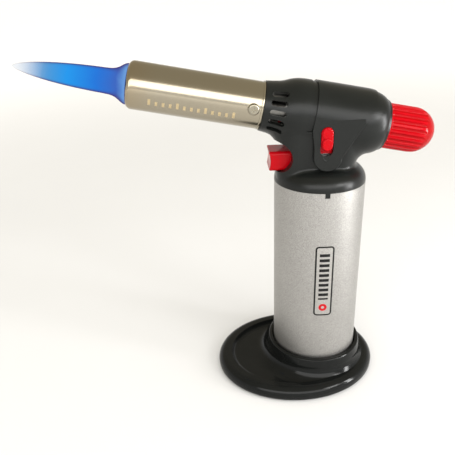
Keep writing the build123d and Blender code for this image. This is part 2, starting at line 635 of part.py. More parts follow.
def mixing_tube():
    """Venturi tube with a flared inlet."""
    return on_head(turned([
        (4.6, 17.8), (5.3, 17.8), (4.2, 22.0), (4.2, HOLDER_AT + 1.6), (3.6, HOLDER_AT + 1.6), (3.6, 22.0),
    ]))


def flame_holder():
    """Drilled disc that holds the flame, set back in the tube's mouth."""
    holder = disc(TUBE_R - TUBE_WALL - CLEARANCE, HOLDER_AT, HOLDER_AT + 3.4)
    holder -= disc(4.2, HOLDER_AT - 1, HOLDER_AT + 1.6) + disc(2.4, HOLDER_AT, HOLDER_AT + 5)
    for i in range(8):
        holder -= Rot(0, 0, 22.5 + 45 * i) * Pos(7.6, 0, HOLDER_AT - 1) * Cylinder(
            1.1, 6, align=(Align.CENTER, Align.CENTER, Align.MIN)
        )
    holder -= Pos(ELECTRODE_U, 0, HOLDER_AT - 1) * Cylinder(
        INSULATOR_R, 6, align=(Align.CENTER, Align.CENTER, Align.MIN)
    )
    return on_head(holder)


def electrode_insulator():
    return on_head(Pos(ELECTRODE_U, 0, 0) * disc(INSULATOR_R, 24.0, HOLDER_AT + 5.0, bore=WIRE_R))


def electrode():
    """Spark wire, bent over the flame holder at its tip."""
    route = FilletPolyline(
        (ELECTRODE_U, 0, 20.0), (ELECTRODE_U, 0, HOLDER_AT + 8.0), (ELECTRODE_U + 3.2, 0, HOLDER_AT + 8.4),
        radius=1.0,
    )
    return on_head(sweep(Plane(route @ 0, z_dir=route % 0) * Circle(WIRE_R), route))


# ---------------------------------------------------------------- output
def main():
    os.makedirs("parts", exist_ok=True)
    head = housing()
    nodes = {
        "housing_left": half_of(head, -1),
        "housing_right": half_of(head, 1),
    }
    builders = [
        stand_base, tank_sleeve, tank_label, bottom_cap, fuel_tank, tank_lid, dip_tube, fill_valve_body,
        fill_valve_stem, fill_valve_seal, fill_valve_spring, housing_screws, lock_slider, lock_spring,
        trigger, trigger_spring, piezo_body, piezo_plunger, igniter_lead, gas_valve_body, gas_valve_stem,
        gas_valve_seal, gas_valve_spring, feed_pipe, regulator_body, gland_nut, spindle_oring,
        regulator_spindle, regulator_knob, gas_jet, burner_mount, collar_ring, burner_tube, burner_screws,
        mixing_tube, flame_holder, electrode_insulator, electrode,
    ]
    for builder in builders:
        nodes[builder.__name__] = builder()
    for name, shape in nodes.items():
        export_step(shape, os.path.join("parts", name + ".step"))


main()
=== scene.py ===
import json
from math import pi, radians

import bpy
import numpy as np
from bpy.props import FloatProperty, FloatVectorProperty, PointerProperty
from mathutils import Matrix, Vector


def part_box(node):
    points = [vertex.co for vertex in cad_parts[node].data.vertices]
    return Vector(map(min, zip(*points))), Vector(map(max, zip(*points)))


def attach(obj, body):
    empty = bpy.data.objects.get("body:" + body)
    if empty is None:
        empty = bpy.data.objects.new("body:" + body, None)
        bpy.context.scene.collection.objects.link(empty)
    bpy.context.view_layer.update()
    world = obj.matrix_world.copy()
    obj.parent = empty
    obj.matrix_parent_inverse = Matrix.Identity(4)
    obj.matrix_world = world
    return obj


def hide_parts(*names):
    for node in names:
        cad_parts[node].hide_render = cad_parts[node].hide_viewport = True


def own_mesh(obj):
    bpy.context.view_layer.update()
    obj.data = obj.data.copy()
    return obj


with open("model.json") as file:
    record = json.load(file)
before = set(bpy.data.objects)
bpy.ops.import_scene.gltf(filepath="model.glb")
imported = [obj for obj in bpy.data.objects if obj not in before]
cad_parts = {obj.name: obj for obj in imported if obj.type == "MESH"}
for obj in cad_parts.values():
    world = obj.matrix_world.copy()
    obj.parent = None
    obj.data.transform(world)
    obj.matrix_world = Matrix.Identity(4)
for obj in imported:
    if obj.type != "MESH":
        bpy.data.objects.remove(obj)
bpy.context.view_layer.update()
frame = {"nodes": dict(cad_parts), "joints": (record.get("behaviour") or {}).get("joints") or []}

bl_info = {
    "name": "Bench Torch Finishes",
    "version": (1, 0, 0),
    "blender": (4, 5, 0),
    "location": "View3D > Sidebar > Torch",
    "description": "Finishes, printed and engraved marks, studio and flame for a table-standing gas torch",
    "category": "Object",
}

# ---------------------------------------------------------------- places taken from the frame
MM = 0.001
JOINTS = {joint["name"]: joint for joint in frame["joints"]}
HEAD = Vector(JOINTS["knob_turn"]["pos_m"])                 # where the burner's axis crosses the tank's
NOZZLE = Vector(JOINTS["knob_turn"]["axis"]).normalized()   # along the burner, towards its mouth
UPWARD = Vector((NOZZLE.z, 0.0, -NOZZLE.x))                 # square to the burner, in the middle plane
TUBE_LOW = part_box("burner_tube")[0]
MOUTH_R = 8.4 * MM                                          # radius of the tube at its rolled mouth
MOUTH = (TUBE_LOW.x + MOUTH_R * UPWARD.x) / NOZZLE.x        # distance of the mouth along the burner
LABEL_LOW, LABEL_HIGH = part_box("tank_label")
SLIDE_LOW, SLIDE_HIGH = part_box("lock_slider")
KNOB_LOW, KNOB_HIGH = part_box("regulator_knob")
KNOB_R = (KNOB_HIGH.y - KNOB_LOW.y) / 2
WIRE_R = 0.25 * MM                                          # radius of the springs' wire
ROWS_PER_TURN, WIRE_COLUMNS = 40, 12                        # how finely the springs are drawn


# ---------------------------------------------------------------- shader expressions
class Number:
    """A number that varies over a surface: operators on it add Math nodes to its material."""

    def __init__(self, finish, socket):
        self.finish = finish
        self.socket = socket

    def _math(self, operation, *values):
        return self.finish.node("ShaderNodeMath", {"operation": operation}, values)

    def __add__(self, other):
        return self._math("ADD", self, other)

    def __radd__(self, other):
        return self._math("ADD", other, self)

    def __sub__(self, other):
        return self._math("SUBTRACT", self, other)

    def __rsub__(self, other):
        return self._math("SUBTRACT", other, self)

    def __mul__(self, other):
        return self._math("MULTIPLY", self, other)

    def __rmul__(self, other):
        return self._math("MULTIPLY", other, self)

    def __truediv__(self, other):
        return self._math("DIVIDE", self, other)

    def __rtruediv__(self, other):
        return self._math("DIVIDE", other, self)

    def __abs__(self):
        return self._math("ABSOLUTE", self)

    def most(self, other):
        """The greater of the two."""
        return self._math("MAXIMUM", self, other)

    def angle_from(self, other):
        """The angle whose tangent is self over other."""
        return self._math("ARCTAN2", self, other)

    def repeated(self, pitch):
        """Distance from the nearest multiple of the pitch."""
        return abs(self._math("PINGPONG", self, pitch / 2))

    def ramp(self, low, high, from_value=0.0, to_value=1.0):
        """A soft step from one value to another as self goes from low to high."""
        return self.finish.node(
            "ShaderNodeMapRange", {"interpolation_type": "SMOOTHSTEP"},
            (self, low, high, from_value, to_value),
        )

    def below(self, limit, soft):
        """1 where self is under the limit, 0 where it is over."""
        return self.ramp(limit - soft, limit + soft, 1.0, 0.0)


class Finish:
    """One material: a Principled shader and the nodes that feed it."""

    def __init__(self, name):
        self.material = bpy.data.materials.new(name)
        self.material.use_nodes = True
        self.tree = self.material.node_tree
        self.tree.nodes.clear()
        self.shader = self.tree.nodes.new("ShaderNodeBsdfPrincipled")
        output = self.tree.nodes.new("ShaderNodeOutputMaterial")
        self.tree.links.new(self.shader.outputs["BSDF"], output.inputs["Surface"])
        place = self.tree.nodes.new("ShaderNodeTexCoord")
        self.place = Number(self, place.outputs["Object"])

    def node(self, kind, settings=None, sockets=(), output=0):
        """A new node's output: settings come first, then values or links for its sockets by order or name."""
        made = self.tree.nodes.new(kind)
        for name, value in (settings or {}).items():
            if name == "stops":
                ramp = made.color_ramp.elements
                while len(ramp) < len(value):
                    ramp.new(0.5)
                for stop, (position, colour) in zip(ramp, value):
                    stop.position = position
                    stop.color = colour
            else:
                setattr(made, name, value)
        pairs = sockets.items() if isinstance(sockets, dict) else enumerate(sockets)
        for key, value in pairs:
            self.feed(made.inputs[key], value)
        return Number(self, made.outputs[output])

    def feed(self, target, value):
        """Links a socket to a wrapped output, or sets its value."""
        if isinstance(value, Number):
            self.tree.links.new(value.socket, target)
        elif target.type == "RGBA":
            target.default_value = (*value[:3], 1.0)
        else:
            target.default_value = value

    def set(self, **sockets):
        """Sets the shader's sockets; an underscore stands for a space."""
        for name, value in sockets.items():
            self.feed(self.shader.inputs[name.replace("_", " ")], value)
        return self

    def along(self, direction, origin=(0, 0, 0)):
        """Distance in metres along a direction, from a plane through the origin given."""
        reach = Vector(direction).normalized()
        dot = self.node(
            "ShaderNodeVectorMath", {"operation": "DOT_PRODUCT"}, (self.place, tuple(reach)), "Value"
        )
        return dot - reach.dot(Vector(origin))

    def distance(self, first, second):
        """Distance from a centre, from the distances along two directions square to each other."""
        flat = self.node("ShaderNodeCombineXYZ", None, (first, second, 0.0))
        return self.node("ShaderNodeVectorMath", {"operation": "LENGTH"}, (flat,), "Value")

    def noise(self, size, detail=2.0, roughness=0.5, stretch=None):
        """Cloudy noise from 0 to 1 whose features are about the size given, in metres."""
        where = self.place
        if stretch is not None:
            where = self.node("ShaderNodeVectorMath", {"operation": "MULTIPLY"}, (where, stretch))
        return self.node(
            "ShaderNodeTexNoise", {"noise_dimensions": "3D"},
            {"Vector": where, "Scale": 1 / size, "Detail": detail, "Roughness": roughness},
        )

    def mix(self, amount, first, second):
        """A colour between two others."""
        return self.node(
            "ShaderNodeMix", {"data_type": "RGBA", "blend_type": "MIX"}, {0: amount, 6: first, 7: second}, 2
        )

    def bump(self, height, depth, strength=1.0):
        """A normal from a height between 0 and 1 that stands for a depth in metres."""
        return self.node("ShaderNodeBump", None, {"Height": height, "Distance": depth, "Strength": strength})


def head_place(finish):
    """Distance along the burner, distance above its axis and distance across, in metres."""
    return finish.along(NOZZLE, HEAD), finish.along(UPWARD, HEAD), finish.along((0, 1, 0))


def from_axis(finish):
    """Distance from the burner's axis, in metres."""
    _, u, across = head_place(finish)
    return finish.distance(u, across)


# ---------------------------------------------------------------- finishes
def moulded_head(colours):
    """Satin charcoal moulding: spark-eroded grain, a parting line and the arrow moulded under the slide."""
    f = Finish("satin_charcoal")
    cloud = f.noise(14 * MM, 3.0)
    grain = f.noise(0.45 * MM, 3.0, 0.6)
    x, y, z = f.along((1, 0, 0)), f.along((0, 1, 0)), f.along((0, 0, 1))
    seam = abs(y).below(0.05 * MM, 0.05 * MM)
    middle = (SLIDE_LOW.x + SLIDE_HIGH.x) / 2
    arrow_drop, arrow_rise, arrow_reach = 2.0 * MM, 1.6 * MM, 1.7 * MM
    line_half, line_soft = 0.28 * MM, 0.1 * MM
    near_side = y.below(-10 * MM, 1 * MM)
    sideways = abs(x - middle)
    drop = SLIDE_LOW.z - arrow_drop - z
    arrow = abs(drop - (arrow_rise - sideways)).below(line_half, line_soft)
    arrow = arrow * sideways.below(arrow_reach, line_soft) * near_side
    f.set(
        Base_Color=f.mix(cloud * 0.5 + grain * 0.3 + seam * 0.2, tuple(colours.head), (0.010, 0.011, 0.010)),
        Roughness=0.24 + 0.07 * cloud + 0.04 * grain,
        Specular_IOR_Level=0.24,
        Normal=f.bump(grain - 1.6 * seam + 3.0 * arrow, 0.03 * MM, 1.0),
    )
    return f.material


def gloss_stand(colours):
    """Glossy black moulding with a faint orange peel and a little dust in its recess."""
    f = Finish("gloss_black")
    peel = f.noise(2.2 * MM, 1.0)
    dust = f.noise(0.5 * MM, 4.0, 0.7).ramp(0.66, 0.74)
    wear = f.noise(9 * MM, 4.0, 0.6)
    f.set(
        Base_Color=f.mix(0.10 * dust + 0.12 * wear, tuple(colours.stand), (0.04, 0.041, 0.04)),
        Roughness=0.11 + 0.06 * wear + 0.25 * dust,
        Specular_IOR_Level=0.16,
        Normal=f.bump(peel, 0.01 * MM, 0.5),
    )
    return f.material


def red_moulding(colours, name, groove_shade_radius=0.0):
    """Glossy red moulding with a random deeper tone, and painted shade that darkens it inside a groove radius
    about the burner's axis.
    """
    f = Finish(name)
    cloud = f.noise(6 * MM, 3.0)
    grain = f.noise(0.5 * MM, 2.0)
    tone_and_groove_shade = 0.5 * cloud
    if groove_shade_radius:
        # painted shade: inside this radius of the burner's axis, the knob's grooves turn deep red
        tone_and_groove_shade = tone_and_groove_shade.most(from_axis(f).below(groove_shade_radius, 0.25 * MM))
    f.set(
        Base_Color=f.mix(tone_and_groove_shade, tuple(colours.red), (0.28, 0.0008, 0.002)),
        Roughness=0.12 + 0.06 * cloud,
        Specular_IOR_Level=0.11,
        Normal=f.bump(grain, 0.01 * MM, 0.5),
    )
    return f.material


def blasted_sleeve(colours):
    """Bead-blasted and clear-anodised aluminium: fine sparkling grain and faint handling marks."""
    f = Finish("blasted_aluminium")
    fine = f.noise(0.32 * MM, 2.0, 0.7)
    coarse = f.noise(0.8 * MM, 2.0, 0.6)
    cloud = f.noise(22 * MM, 2.0)
    rubbed = f.noise(5 * MM, 5.0, 0.65).ramp(0.58, 0.75)
    sparkle = fine.ramp(0.35, 0.68)
    f.set(
        Base_Color=f.mix(0.75 * sparkle + 0.25 * cloud, (0.26, 0.253, 0.243), tuple(colours.sleeve)),
        Metallic=1.0,
        Roughness=0.38 + 0.12 * coarse - 0.06 * rubbed,
        Normal=f.bump(fine + 0.6 * coarse, 0.05 * MM, 0.8),
    )
    return f.material


def printed_label(colours):
    """Clear film over the sleeve, printed with a rounded border, a red ring and a column of plain bars."""
    f = Finish("printed_film")
    middle = (LABEL_LOW + LABEL_HIGH) / 2
    x, z = f.along((1, 0, 0), middle), f.along((0, 0, 1), middle)
    inset, corner, border_half = 0.45 * MM, 1.4 * MM, 0.42 * MM
    bar_start, bar_pitch, bar_half_z, bar_half_x = 1.0 * MM, 2.8 * MM, 0.82 * MM, 2.5 * MM
    column_middle, column_half, bar_soft = 3.2 * MM, 13.6 * MM, 0.06 * MM
    ring_drop, ring_outer, ring_inner, ring_soft = 15.0 * MM, 2.1 * MM, 0.8 * MM, 0.07 * MM
    half_x = (LABEL_HIGH.x - LABEL_LOW.x) / 2 - inset
    half_z = (LABEL_HIGH.z - LABEL_LOW.z) / 2 - inset
    over_x = (abs(x) - (half_x - corner)).most(0.0)
    over_z = (abs(z) - (half_z - corner)).most(0.0)
    outside = f.distance(over_x, over_z) - corner
    border = abs(outside).below(border_half, 0.05 * MM)
    bars = (z - bar_start).repeated(bar_pitch).below(bar_half_z, bar_soft)
    across = abs(x).below(bar_half_x, bar_soft)
    column = abs(z - column_middle).below(column_half, bar_soft)
    ink = border.most(bars * across * column)
    from_ring = f.distance(x, z + ring_drop)
    ring = from_ring.below(ring_outer, ring_soft) - from_ring.below(ring_inner, ring_soft)
    grain = f.noise(0.32 * MM, 2.0, 0.7)
    base = f.mix(grain.ramp(0.35, 0.68), (0.36, 0.35, 0.335), tuple(colours.sleeve))
    base = f.mix(ink, base, (0.006, 0.006, 0.006))
    base = f.mix(ring, base, tuple(colours.red))
    f.set(
        Base_Color=base,
        Metallic=1.0 - ink.most(ring),
        Roughness=0.36 + 0.06 * grain - 0.05 * ink,
        Specular_IOR_Level=0.2,
        Normal=f.bump(grain, 0.03 * MM, 0.5),
    )
    return f.material


def polished_burner(colours):
    """Polished warm nickel: hairlines round it, an engraved scale on one side, a straw tint at the mouth."""
    f = Finish("warm_nickel")
    t, u, across = head_place(f)
    hairlines = f.node(
        "ShaderNodeTexNoise", {"noise_dimensions": "1D"}, {"W": t, "Scale": 1 / (0.09 * MM), "Detail": 3.0}
    )
    smear = f.noise(8 * MM, 4.0, 0.6)
    heat = t.ramp(MOUTH - 16 * MM, MOUTH)
    turn = u.angle_from(0 - across)                                # 0 towards the near side, positive upwards
    pitch, scale_start, scale_middle, scale_half = 3.2 * MM, 42.0 * MM, 61.2 * MM, 20.0 * MM
    band_soft = 0.008                                              # the bands' edges, in radians
    tick = (t - scale_start).repeated(pitch).below(0.58 * MM, 0.06 * MM)
    tall = (t - scale_start).repeated(4 * pitch).below(0.8 * MM, 0.1 * MM)
    band = abs(turn + 0.46).below(0.10, band_soft)
    band = band.most(abs(turn + 0.42).below(0.14, band_soft) * tall)
    marks = tick * band * abs(t - scale_middle).below(scale_half, 0.1 * MM)
    plating = f.mix(0.35 * heat + 0.12 * hairlines, tuple(colours.nickel), (0.36, 0.27, 0.15))
    f.set(
        Base_Color=f.mix(marks, plating, (0.62, 0.50, 0.30)),
        Metallic=1.0,
        Roughness=0.11 + 0.05 * smear + 0.10 * hairlines + 0.25 * marks,
        Normal=f.bump(hairlines - 6.0 * marks, 0.006 * MM, 0.6),
    )
    return f.material


def metal(name, dull, bright, roughness, size, depth, stretch=None, hue=None):
    """A worked metal: its colour, roughness and surface follow one noise of the size given."""
    f = Finish(name)
    fine = f.noise(size, 3.0, 0.6, stretch)
    cloud = f.noise(6 * MM, 3.0)
    colour = f.mix(0.6 * fine + 0.4 * cloud, dull, bright)
    if hue is not None:
        colour = f.mix(cloud.ramp(0.35, 0.7, 0.0, 0.7), colour, hue)
    f.set(
        Base_Color=colour,
        Metallic=1.0,
        Roughness=roughness + 0.12 * fine,
        Normal=f.bump(fine, depth, 0.7),
    )
    return f.material


def plain(name, dark, light, roughness, size, depth):
    """A moulded, fired or rubber surface: colour and roughness drift with one noise."""
    f = Finish(name)
    fine = f.noise(size, 3.0, 0.6)
    cloud = f.noise(5 * MM, 3.0)
    f.set(
        Base_Color=f.mix(0.5 * fine + 0.5 * cloud, dark, light),
        Roughness=roughness + 0.12 * fine,
        Normal=f.bump(fine, depth, 0.7),
    )
    return f.material


def sooted_ceramic():
    """White ceramic, browned towards the flame."""
    f = Finish("sooted_ceramic")
    t, _, _ = head_place(f)
    speck = f.noise(0.6 * MM, 4.0)
    soot = t.ramp(MOUTH - 30 * MM, MOUTH - 8 * MM) * (0.5 + 0.5 * speck)
    f.set(
        Base_Color=f.mix(soot, (0.80, 0.78, 0.72), (0.16, 0.10, 0.07)),
        Roughness=0.35 + 0.3 * soot,
        Normal=f.bump(speck, 0.02 * MM, 0.5),
    )
    return f.material


def heated_steel():
    """Steel that the flame has coloured: straw and blue rings over grey."""
    f = Finish("heated_steel")
    drift = f.noise(3 * MM, 3.0)
    tint = f.node(
        "ShaderNodeValToRGB",
        {"stops": [
            (0.0, (0.10, 0.09, 0.09, 1)), (0.35, (0.13, 0.12, 0.16, 1)), (0.6, (0.16, 0.18, 0.32, 1)),
            (0.8, (0.34, 0.24, 0.16, 1)), (1.0, (0.36, 0.33, 0.30, 1)),
        ]},
        ((from_axis(f) / (10 * MM) + 0.25 * (drift - 0.5)),),
    )
    f.set(
        Base_Color=tint,
        Metallic=1.0,
        Roughness=0.34 + 0.2 * drift,
        Normal=f.bump(drift, 0.03 * MM, 0.5),
    )
    return f.material


# ---------------------------------------------------------------- surfaces
def grid_mesh(name, points, material):
    """A smooth-shaded mesh from a grid of points: rows run along, columns run round and close up."""
    rows, columns, _ = points.shape
    index = np.arange(rows * columns).reshape(rows, columns)
    around = np.concatenate([index, index[:, :1]], axis=1)
    quads = np.stack([around[:-1, :-1], around[1:, :-1], around[1:, 1:], around[:-1, 1:]], axis=-1)
    quads = quads.reshape(-1, 4)
    mesh = bpy.data.meshes.new(name)
    mesh.from_pydata(points.reshape(-1, 3), [], quads)
    mesh.polygons.foreach_set("use_smooth", np.ones(len(quads), dtype=bool))
    mesh.materials.append(material)
    mesh.update()
    made = bpy.data.objects.new(name, mesh)
    bpy.context.scene.collection.objects.link(made)
    return made


def on_burner(along, radius, turn):
    """Points at a distance along the burner's axis, a radius from it and an angle about it."""
    along, radius, turn = np.broadcast_arrays(along, radius, turn)
    axis, up = np.array(NOZZLE), np.array(UPWARD)
    side = np.array((0.0, -1.0, 0.0))
    return (
        np.array(HEAD) + along[..., None] * axis
        + (radius * np.sin(turn))[..., None] * up + (radius * np.cos(turn))[..., None] * side
    )


def coil_spring(node, joint, way, turns, material):
    """A compression spring in the place of a CAD node's.

    Its wire's middle runs on a helix: at a share s of the length it has turned s * turns * 2 pi about the
    spring's axis. The wire is a circle square to the helix, and a flat disc closes each of its ends, all but
    a pinhole."""
    low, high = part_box(node)
    way = np.array(way, dtype=float)
    first = np.array((0.0, 1.0, 0.0))
    second = np.cross(way, first)
    length = float((np.array(high) - np.array(low)) @ way)
    reach = (high.y - low.y) / 2 - WIRE_R
    steps = turns * ROWS_PER_TURN
    share = np.clip(np.arange(-1, steps + 2) / steps, 0, 1)[:, None, None]
    turn = 2 * pi * turns * share
    radial = np.cos(turn) * first + np.sin(turn) * second
    rise = length - 2 * WIRE_R
    ahead = way * rise / (2 * pi * turns) + reach * (np.cos(turn) * second - np.sin(turn) * first)
    across = np.cross(ahead / np.linalg.norm(ahead, axis=-1, keepdims=True), radial)
    round_wire = np.linspace(0, 2 * pi, WIRE_COLUMNS, endpoint=False)[None, :, None]
    wire = np.full(share.shape, WIRE_R)
    wire[[0, -1]] = 0.01 * WIRE_R                           # the pinhole in each end's disc
    middle = (np.array(low) + np.array(high)) / 2 - way * length / 2
    points = middle + way * (WIRE_R + rise * share) + reach * radial
    points = points + wire * (np.cos(round_wire) * radial + np.sin(round_wire) * across)
    spring = grid_mesh(node + "_coil", points, material)
    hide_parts(node)
    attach(spring, "torch")
    travel = max(abs(limit) for limit in JOINTS[joint]["range_m"])
    1 - travel / length
    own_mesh(spring)


# ---------------------------------------------------------------- sizes and colours that a user may change
class TorchColours(bpy.types.PropertyGroup):
    """Main colours of the torch, in linear light."""

    head: FloatVectorProperty(
        name="Head", description="Colour of the satin head moulding", subtype="COLOR", size=3, min=0, max=1,
        default=(0.004, 0.0048, 0.0044),
    )
    stand: FloatVectorProperty(
        name="Stand", description="Colour of the gloss stand moulding", subtype="COLOR", size=3, min=0, max=1,
        default=(0.0035, 0.004, 0.0038),
    )
    red: FloatVectorProperty(
        name="Controls", description="Colour of the trigger, slide and knob", subtype="COLOR", size=3, min=0,
        max=1, default=(0.37, 0.0008, 0.005),
    )
    sleeve: FloatVectorProperty(
        name="Sleeve", description="Colour of the blasted tank sleeve", subtype="COLOR", size=3, min=0, max=1,
        default=(0.54, 0.527, 0.505),
    )
    nickel: FloatVectorProperty(
        name="Burner", description="Colour of the polished burner tube", subtype="COLOR", size=3, min=0,
        max=1, default=(0.37, 0.335, 0.262),
    )


class TorchStage(bpy.types.PropertyGroup):
    """Studio and flame."""

    key_power: FloatProperty(
        name="Key light", description="Power of the soft light at the camera's right", default=2.0, min=0,
        unit="POWER",
    )
    strip_power: FloatProperty(
        name="Side light", description="Power of the tall light at the right", default=4.5, min=0,
        unit="POWER",
    )
    front_power: FloatProperty(
        name="Front light", description="Power of the broad light behind the camera", default=21.0, min=0,
        unit="POWER",
    )
    overhead: FloatProperty(
        name="Overhead light", description="Strength of the soft light from overhead", default=1.9, min=0,
    )
    flame_length: FloatProperty(
        name="Flame length", description="Length of the flame beyond the burner's mouth", default=0.052,
        min=0, unit="LENGTH",
    )


def colours_of(context):
    """The colours that the user may have changed."""
    return context.scene.torch_colours


def cover(nodes, material):
    """Gives CAD nodes their material."""
    for name in nodes:
        mesh = frame["nodes"][name].data
        mesh.materials.clear()
        mesh.materials.append(material)


# ---------------------------------------------------------------- operators
class TORCH_OT_head(bpy.types.Operator):
    """Finish the head's two halves in satin charcoal"""

    bl_idname = "torch.finish_head"
    bl_label = "Head"

    def execute(self, context):
        cover(("housing_left", "housing_right"), moulded_head(colours_of(context)))
        return {"FINISHED"}


class TORCH_OT_controls(bpy.types.Operator):
    """Finish the trigger, the slide and the knob in red"""

    bl_idname = "torch.finish_controls"
    bl_label = "Controls"

    def execute(self, context):
        colours = colours_of(context)
        cover(("trigger", "lock_slider"), red_moulding(colours, "red_controls"))
        # the knob's grooves are darkened as painted shade, 0.6 mm inside its crest radius
        cover(("regulator_knob",), red_moulding(colours, "red_knob", KNOB_R - 0.6 * MM))
        return {"FINISHED"}


class TORCH_OT_stand(bpy.types.Operator):
    """Finish the stand in gloss black"""

    bl_idname = "torch.finish_stand"
    bl_label = "Stand"

    def execute(self, context):
        cover(("stand_base",), gloss_stand(colours_of(context)))
        return {"FINISHED"}


class TORCH_OT_tank(bpy.types.Operator):
    """Finish the tank: blasted sleeve, printed film, foot and reservoir"""

    bl_idname = "torch.finish_tank"
    bl_label = "Tank"

    def execute(self, context):
        colours = colours_of(context)
        cover(("tank_sleeve",), blasted_sleeve(colours))
        cover(("tank_label",), printed_label(colours))
        foot = plain("black_foot", (0.02, 0.02, 0.02), (0.04, 0.04, 0.04), 0.45, 0.5 * MM, 0.02 * MM)
        cover(("bottom_cap",), foot)
        drawn = metal(
            "drawn_steel", (0.42, 0.42, 0.41), (0.60, 0.60, 0.59), 0.30, 0.3 * MM, 0.01 * MM,
            stretch=(1, 1, 0.1),
        )
        cover(("fuel_tank", "tank_lid"), drawn)
        return {"FINISHED"}


class TORCH_OT_burner(bpy.types.Operator):
    """Finish the burner: tube, ring, socket, screws, mixing tube, flame holder and spark wire"""

    bl_idname = "torch.finish_burner"
    bl_label = "Burner"

    def execute(self, context):
        cover(("burner_tube", "collar_ring"), polished_burner(colours_of(context)))
        turned = metal("turned_socket", (0.10, 0.10, 0.095), (0.26, 0.25, 0.23), 0.26, 0.12 * MM, 0.01 * MM)
        cover(("burner_mount",), turned)
        zinc = metal("zinc_plate", (0.22, 0.20, 0.16), (0.40, 0.37, 0.29), 0.20, 0.5 * MM, 0.015 * MM)
        cover(("burner_screws", "housing_screws"), zinc)
        cover(("flame_holder",), heated_steel())
        drawn = metal("drawn_tube", (0.06, 0.055, 0.05), (0.16, 0.15, 0.135), 0.34, 0.2 * MM, 0.01 * MM)
        cover(("mixing_tube",), drawn)
        cover(("electrode_insulator",), sooted_ceramic())
        wire = metal("spark_wire", (0.20, 0.18, 0.17), (0.42, 0.40, 0.38), 0.35, 0.2 * MM, 0.01 * MM)
        cover(("electrode",), wire)
        return {"FINISHED"}


class TORCH_OT_workings(bpy.types.Operator):
    """Finish the gas path, igniter and springs inside; three springs are redrawn as wire coils"""

    bl_idname = "torch.finish_workings"
    bl_label = "Workings"

    def execute(self, context):
        brass = metal(
            "turned_brass", (0.46, 0.31, 0.11), (0.80, 0.61, 0.29), 0.24, 0.15 * MM, 0.01 * MM,
            hue=(0.50, 0.30, 0.13),
        )
        cover(
            (
                "fill_valve_body", "fill_valve_stem", "gas_valve_body", "gas_valve_stem", "feed_pipe",
                "regulator_body", "gland_nut", "regulator_spindle", "gas_jet",
            ),
            brass,
        )
        spring = metal("spring_steel", (0.40, 0.40, 0.40), (0.66, 0.65, 0.63), 0.25, 0.2 * MM, 0.01 * MM)
        cover(("fill_valve_spring", "gas_valve_spring", "trigger_spring", "lock_spring"), spring)
        coil_spring("fill_valve_spring", "fill_stem_push", (0, 0, 1), 4, spring)
        coil_spring("gas_valve_spring", "gas_stem_lift", (0, 0, 1), 5, spring)
        coil_spring("trigger_spring", "trigger_push", (1, 0, 0), 6, spring)
        rubber = plain("nitrile", (0.012, 0.012, 0.012), (0.03, 0.03, 0.03), 0.6, 0.3 * MM, 0.02 * MM)
        cover(("fill_valve_seal", "gas_valve_seal", "spindle_oring"), rubber)
        lead = plain("silicone_lead", (0.35, 0.02, 0.02), (0.45, 0.03, 0.03), 0.4, 0.5 * MM, 0.01 * MM)
        cover(("igniter_lead",), lead)
        white = plain("igniter_case", (0.62, 0.61, 0.57), (0.74, 0.73, 0.69), 0.38, 0.4 * MM, 0.01 * MM)
        cover(("piezo_body", "piezo_plunger", "dip_tube"), white)
        return {"FINISHED"}


class TORCH_OT_flame(bpy.types.Operator):
    """Stand a blue flame at the burner's mouth, as a studio effect that isn't part of the torch"""

    bl_idname = "torch.flame"
    bl_label = "Flame"

    def execute(self, context):
        length = context.scene.torch_stage.flame_length
        flame = flame_surface(length)
        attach(flame, "torch")
        return {"FINISHED"}


def flame_surface(length):
    """A slender closed surface whose radius, at a distance d from the mouth, is
    5.9 mm (1 - (d / length)^2.2)^0.62 + 3.4 mm exp(-(d / 4.2 mm)^2)."""
    rows, columns, gap = 90, 48, 0.1 * MM
    body_r, root_r, root_reach = 5.9 * MM, 3.4 * MM, 4.2 * MM
    along = np.linspace(gap, length, rows)[:, None]
    turn = np.linspace(0, 2 * pi, columns, endpoint=False)[None, :]
    body = body_r * (1 - (along / length) ** 2.2) ** 0.62
    radius = body + root_r * np.exp(-((along / root_reach) ** 2))
    return grid_mesh("flame", on_burner(MOUTH + along, radius, turn), flame_finish(length))


def flame_finish(length):
    """Glowing gas: sky blue in the middle, violet at the rim and clear towards the tip."""
    f = Finish("blue_flame")
    t, _, _ = head_place(f)
    s = (t - MOUTH) / length
    facing = f.node("ShaderNodeLayerWeight", None, {"Blend": 0.45}, "Facing")
    colour = f.node(
        "ShaderNodeValToRGB",
        {"stops": [
            (0.0, (0.16, 0.36, 0.72, 1)), (0.08, (0.05, 0.14, 0.54, 1)), (0.25, (0.02, 0.19, 0.72, 1)),
            (0.5, (0.02, 0.32, 0.86, 1)), (0.72, (0.08, 0.32, 0.66, 1)), (1.0, (0.55, 0.64, 0.78, 1)),
        ]},
        (s + 0.05 * (f.noise(5 * MM, 2.0) - 0.5),),
    )
    colour = f.mix(facing.ramp(0.25, 0.85), colour, (0.06, 0.03, 0.17))
    f.set(
        Base_Color=(0.0, 0.0, 0.0),
        Roughness=1.0,
        Specular_IOR_Level=0.0,
        Emission_Color=colour,
        Emission_Strength=1.0,
        Alpha=s.ramp(0.6, 1.0, 0.95, 0.22),
    )
    return f.material


class TORCH_OT_stage(bpy.types.Operator):
    """Set up the pale floor, the soft lights and the camera"""

    bl_idname = "torch.stage"
    bl_label = "Studio"

    def execute(self, context):
        stage = context.scene.torch_stage
        lay_floor()
        light_sky(context.scene)
        hang_light("key", (0.50, -0.46, 0.42), (0.0, 0.0, 0.11), (0.20, 0.20), stage.key_power)
        hang_light("strip", (0.56, -0.24, 0.10), (0.0, 0.0, 0.08), (0.09, 0.50), stage.strip_power)
        hang_light("front", (-0.05, -1.30, 0.69), (-0.03, 0.0, 0.16), (2.4, 0.72), stage.front_power)
        hang_sun(stage.overhead)
        set_camera(context.scene)
        context.scene.view_settings.view_transform = "Standard"
        return {"FINISHED"}


